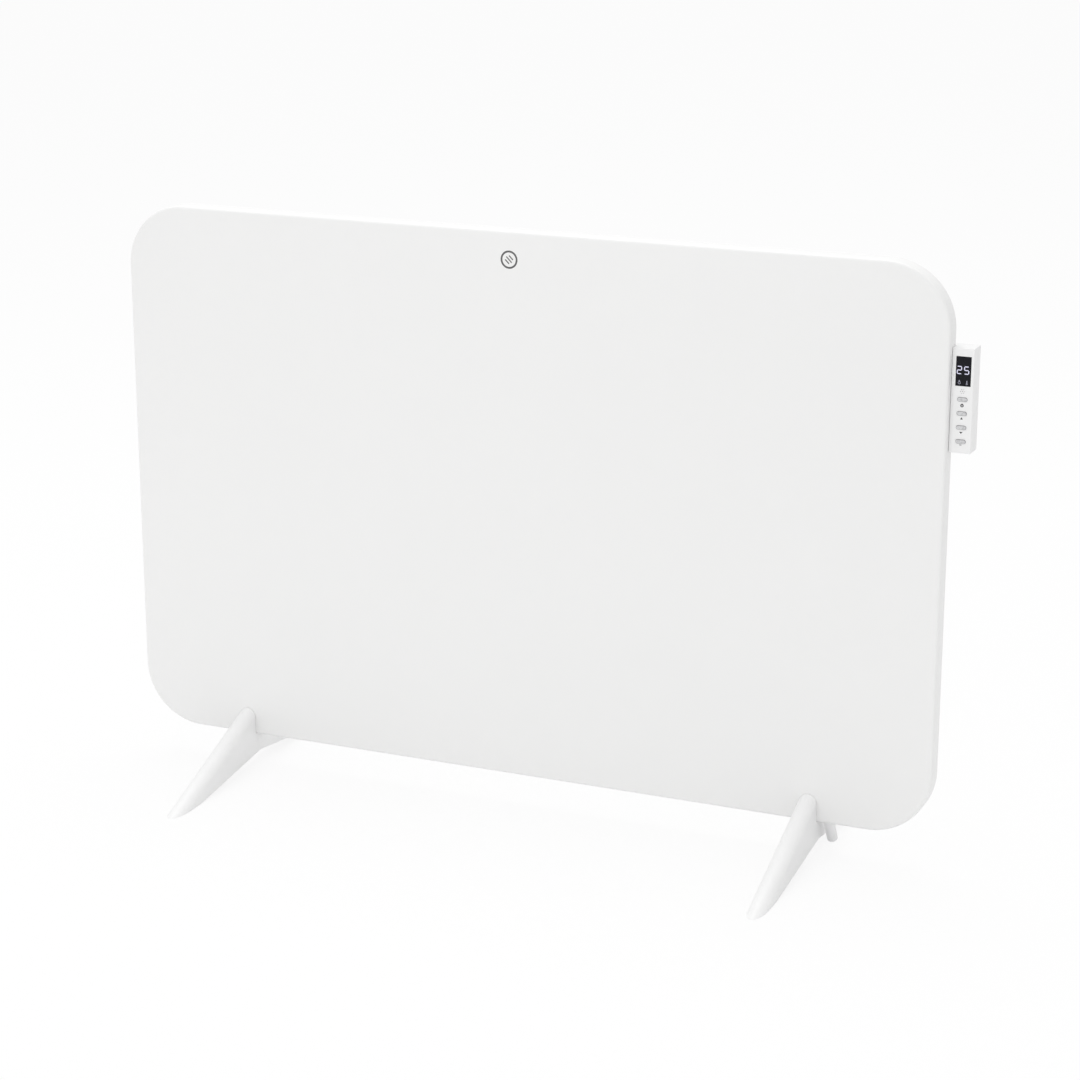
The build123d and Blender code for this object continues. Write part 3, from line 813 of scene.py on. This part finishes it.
WHITE_SHARE = 0.86
FLOOR_SIZE = 40.0
FLOOR_DROP = 0.3 * MM
FLOOR_WHITE = (0.9, 0.9, 0.9, 1.0)
FLOOR_DARK = (0.895, 0.895, 0.895, 1.0)
FLOOR_PALE = (0.905, 0.905, 0.905, 1.0)
ground = Finish("studio_floor", FLOOR_WHITE, 0.8)
ground.feed(Base_Color=ground.mix(ground.noise(2.0), FLOOR_DARK, FLOOR_PALE))
seen = ground.node("ShaderNodeLightPath", "Is Camera Ray")
glow = ground.node("ShaderNodeEmission", "Emission")
painted = Socket(ground.tree, ground.shader.outputs[0])
surface = ground.node("ShaderNodeMixShader", sockets={0: WHITE_SHARE * seen, 1: painted, 2: glow})
ground.tree.links.new(surface.socket, ground.tree.nodes["Material Output"].inputs["Surface"])
deselect()
bpy.ops.mesh.primitive_plane_add(size=FLOOR_SIZE, location=(0, 0, -FLOOR_DROP))
floor = bpy.context.object
floor.name = "studio_floor"
floor.data.materials.append(ground.material)

SURROUND = 0.84
world = bpy.data.worlds.new("studio")
bpy.context.scene.world = world
world.use_nodes = True
sky = Nodes(world.node_tree)
camera_ray = sky.node("ShaderNodeLightPath", "Is Camera Ray")
range_sockets = {"Value": camera_ray, "To Min": SURROUND, "To Max": 1.0}
strength = sky.node("ShaderNodeMapRange", "Result", sockets=range_sockets)
background = sky.tree.nodes["Background"]
background.inputs["Color"].default_value = (1.0, 1.0, 1.0, 1.0)
sky.tree.links.new(strength.socket, background.inputs["Strength"])
LAMP_AIM = Vector((0, 0, 0.3))


def soft_lamp(name, place, size, power):
    """A large square lamp that points at the heater."""
    light = bpy.data.lights.new(name, "AREA")
    light.shape = "SQUARE"
    light.size = size
    light.energy = power
    lamp = bpy.data.objects.new(name, light)
    bpy.context.collection.objects.link(lamp)
    lamp.location = place
    lamp.rotation_mode = "QUATERNION"
    lamp.rotation_quaternion = (LAMP_AIM - Vector(place)).to_track_quat("-Z", "Y")


soft_lamp("top_lamp", (-0.3, 0.4, 3.4), 2.4, 34)
soft_lamp("front_lamp", (-0.6, -3.8, 1.4), 2.6, 18)

LENS = 92.0
FILM = 36.0
AZIMUTH = radians(23.45)
ELEVATION = radians(16.37)
EYE = Vector((1.1106, -2.4968, 1.0617))
eye = EYE + Vector((middle_x, panel_low[1], panel_low[2]))
view = bpy.data.cameras.new("camera")
view.lens = LENS
view.sensor_width = FILM
camera = bpy.data.objects.new("camera", view)
bpy.context.collection.objects.link(camera)
camera.location = eye
back = Vector((sin(AZIMUTH) * cos(ELEVATION), -cos(AZIMUTH) * cos(ELEVATION), sin(ELEVATION)))
camera.rotation_mode = "QUATERNION"
camera.rotation_quaternion = (-back).to_track_quat("-Z", "Y")
bpy.context.scene.camera = camera
bpy.context.scene.view_settings.view_transform = "Standard"
